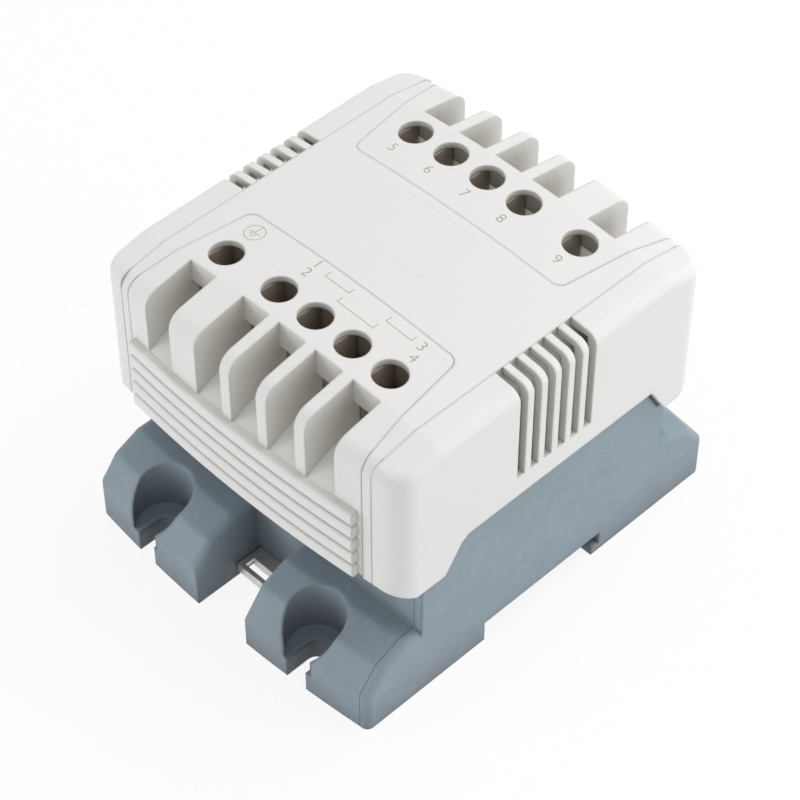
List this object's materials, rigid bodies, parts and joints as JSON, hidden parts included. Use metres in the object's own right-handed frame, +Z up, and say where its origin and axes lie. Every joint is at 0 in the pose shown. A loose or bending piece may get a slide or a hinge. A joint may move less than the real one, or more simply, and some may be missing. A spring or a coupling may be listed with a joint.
{
  "type": "din rail transformer",
  "caption": "Control transformer in a pale moulded housing on a blue-grey foot for 35 mm rail or four screws, with two rows of five screw terminals and a sprung release clip.",
  "frame": {"origin": "middle of the foot plane, under the middle of the housing's footprint", "axes": "+X runs along the rail and along both terminal rows, -Y is the side with the release clip, +Z points up, away from the rail"},
  "size_m": [0.0946, 0.1172, 0.0817],
  "materials": {
    "cover_grey": "fine moulded texture",
    "base_blue_grey": "fine moulded texture",
    "zinc_plated_steel": "bright zinc plating",
    "spring_steel": "bright wire",
    "core_steel": "varnished sheet edges",
    "bobbin_nylon": "satin",
    "copper_wire": "enamelled",
    "barrier_tape": "gloss film",
    "wrap_tape": "gloss film",
    "block_brown": "moulded",
    "terminal_brass": "plain"
  },
  "bodies": {
    "housing": {"base": "base_blue_grey", "terminal_cover_front": "cover_grey", "terminal_cover_rear": "cover_grey", "top_cover": "cover_grey", "side_cover_left": "cover_grey", "side_cover_right": "cover_grey", "clip_spring": "spring_steel", "e_laminations": "core_steel", "i_laminations": "core_steel", "core_screws": "zinc_plated_steel", "core_washers": "zinc_plated_steel", "bobbin": "bobbin_nylon", "primary_winding": "copper_wire", "winding_barrier": "barrier_tape", "secondary_winding": "copper_wire", "coil_wrap": "wrap_tape", "terminal_block_front": "block_brown", "terminal_block_rear": "block_brown", "contact_bars": "terminal_brass", "saddle_washers": "zinc_plated_steel", "clamp_screws": "zinc_plated_steel", "primary_leads": "copper_wire", "secondary_leads": "copper_wire", "earth_strap": "terminal_brass"},
    "clip": {"din_clip": "zinc_plated_steel"}
  },
  "joints": [
    {"name": "clip_slide", "type": "slide", "parent": "housing", "child": "clip", "axis": [0, -1, 0], "range_m": [0, 0.004], "stiffness_N_per_m": 2000, "springref_m": -0.002, "deforming": ["clip_spring"]}
  ]
}
